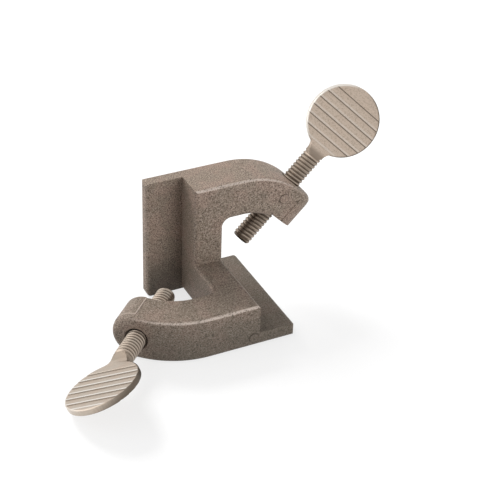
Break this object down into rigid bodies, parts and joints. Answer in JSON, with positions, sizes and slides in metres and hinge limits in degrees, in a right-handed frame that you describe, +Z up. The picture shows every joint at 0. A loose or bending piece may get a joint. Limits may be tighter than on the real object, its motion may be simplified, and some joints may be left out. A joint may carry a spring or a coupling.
{
  "type": "boss head clamp",
  "caption": "Right-angle boss head clamp: a cast body with hooked jaws set at right angles, and ridged spade-head thumbscrews that press crossing rods into its corners.",
  "frame": {"origin": "on the upright rod's axis, level with the clamp's flat underside", "axes": "+Z up along the upright rod, +Y along the cross rod towards the wall behind the upright rod, +X from the upright rod towards the cross rod"},
  "size_m": [0.1272, 0.0643, 0.0649],
  "materials": {
    "casting": "rough tumbled zinc die-casting",
    "screw": "satin nickel plate"
  },
  "bodies": {
    "clamp_body": {"clamp_body": "casting"},
    "cross_rod_screw": {"cross_rod_screw": "screw"},
    "upright_rod_screw": {"upright_rod_screw": "screw"}
  },
  "joints": [
    {"name": "cross_rod_screw_advance", "type": "slide", "parent": "clamp_body", "child": "cross_rod_screw", "axis": [-0.7071, 0, -0.7071], "range_m": [-0.0135, 0.01]},
    {"name": "upright_rod_screw_advance", "type": "slide", "parent": "clamp_body", "child": "upright_rod_screw", "axis": [0.7071, 0.7071, 0], "range_m": [-0.0135, 0.01]}
  ]
}
